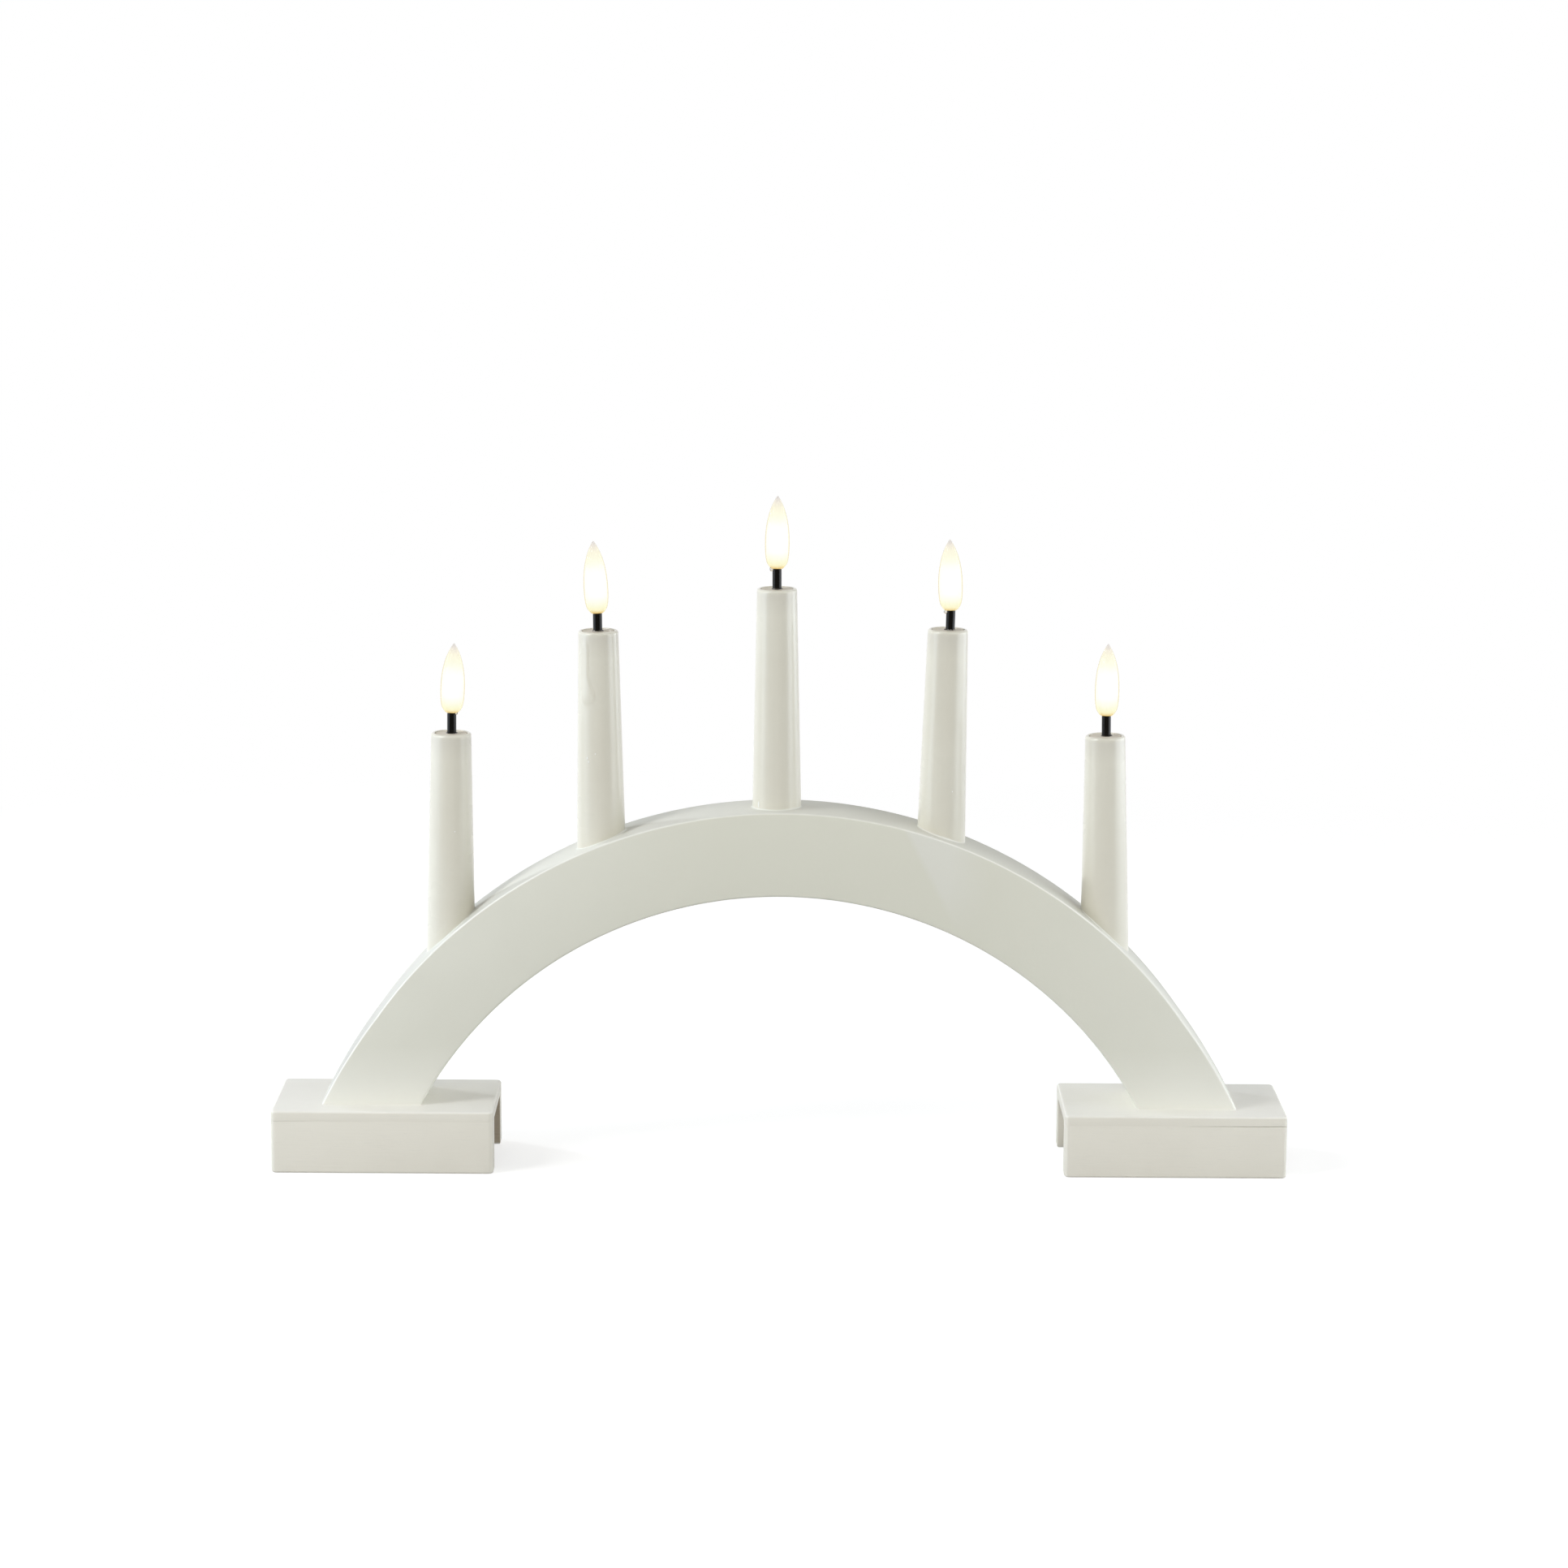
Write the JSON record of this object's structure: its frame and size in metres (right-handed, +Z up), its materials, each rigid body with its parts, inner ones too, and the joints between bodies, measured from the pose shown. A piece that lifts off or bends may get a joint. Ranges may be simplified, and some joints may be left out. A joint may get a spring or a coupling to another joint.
{
  "type": "electric advent candlestick",
  "caption": "White wooden candle arch on two channel-shaped feet, with tapered candles whose LED flames run from cells in a slide-lid case inside one foot.",
  "frame": {"origin": "on the ground, at the middle of the width and depth", "axes": "+X to the viewer's right along the arch, +Y to the back, +Z up; the front faces -Y"},
  "size_m": [0.4, 0.052, 0.2662],
  "materials": {
    "white_paint": "satin white paint over wood",
    "cover_strip": "painted thin strip",
    "screw_steel": "zinc plated",
    "candle_white": "glossy off-white",
    "cap_disc": "matte cream",
    "wick_sleeve": "glossy black",
    "flame_diffuser": "frosted, lit",
    "led_resin": "clear resin, lit",
    "wire_jacket": "white flexible jacket",
    "case_plastic": "fine matte white",
    "cell_jacket": "plain printed sleeve",
    "contact_steel": "nickel plated",
    "board": "green solder mask",
    "switch_plastic": "black moulded",
    "foam_pad": "foam tape"
  },
  "bodies": {
    "candlestick": {"arch": "white_paint", "left_foot_top": "white_paint", "left_foot_front": "white_paint", "left_foot_back": "white_paint", "right_foot_top": "white_paint", "right_foot_front": "white_paint", "right_foot_back": "white_paint", "groove_cover": "cover_strip", "arch_screw_left_front": "screw_steel", "arch_screw_left_back": "screw_steel", "arch_screw_right_front": "screw_steel", "arch_screw_right_back": "screw_steel", "candle_1_tube": "candle_white", "candle_1_cap": "cap_disc", "candle_1_wick": "wick_sleeve", "candle_1_flame": "flame_diffuser", "candle_1_led": "led_resin", "candle_1_lead": "wire_jacket", "candle_2_tube": "candle_white", "candle_2_cap": "cap_disc", "candle_2_wick": "wick_sleeve", "candle_2_flame": "flame_diffuser", "candle_2_led": "led_resin", "candle_2_lead": "wire_jacket", "candle_3_tube": "candle_white", "candle_3_cap": "cap_disc", "candle_3_wick": "wick_sleeve", "candle_3_flame": "flame_diffuser", "candle_3_led": "led_resin", "candle_3_lead": "wire_jacket", "candle_4_tube": "candle_white", "candle_4_cap": "cap_disc", "candle_4_wick": "wick_sleeve", "candle_4_flame": "flame_diffuser", "candle_4_led": "led_resin", "candle_4_lead": "wire_jacket", "candle_5_tube": "candle_white", "candle_5_cap": "cap_disc", "candle_5_wick": "wick_sleeve", "candle_5_flame": "flame_diffuser", "candle_5_led": "led_resin", "candle_5_lead": "wire_jacket", "wiring_harness": "wire_jacket", "battery_case": "case_plastic", "cell_front": "cell_jacket", "cell_back": "cell_jacket", "negative_plate": "contact_steel", "positive_plate": "contact_steel", "link_plate": "contact_steel", "negative_spring": "contact_steel", "link_spring": "contact_steel", "circuit_board": "board", "switch_body": "switch_plastic", "adhesive_pad": "foam_pad"},
    "battery_lid": {"battery_lid": "case_plastic"},
    "switch_slider": {"switch_slider": "switch_plastic"}
  },
  "joints": [
    {"name": "lid_slide", "type": "slide", "parent": "candlestick", "child": "battery_lid", "axis": [1, 0, 0], "range_m": [0, 0.062]},
    {"name": "switch_slide", "type": "slide", "parent": "candlestick", "child": "switch_slider", "axis": [0, 1, 0], "range_m": [0, 0.004]}
  ]
}
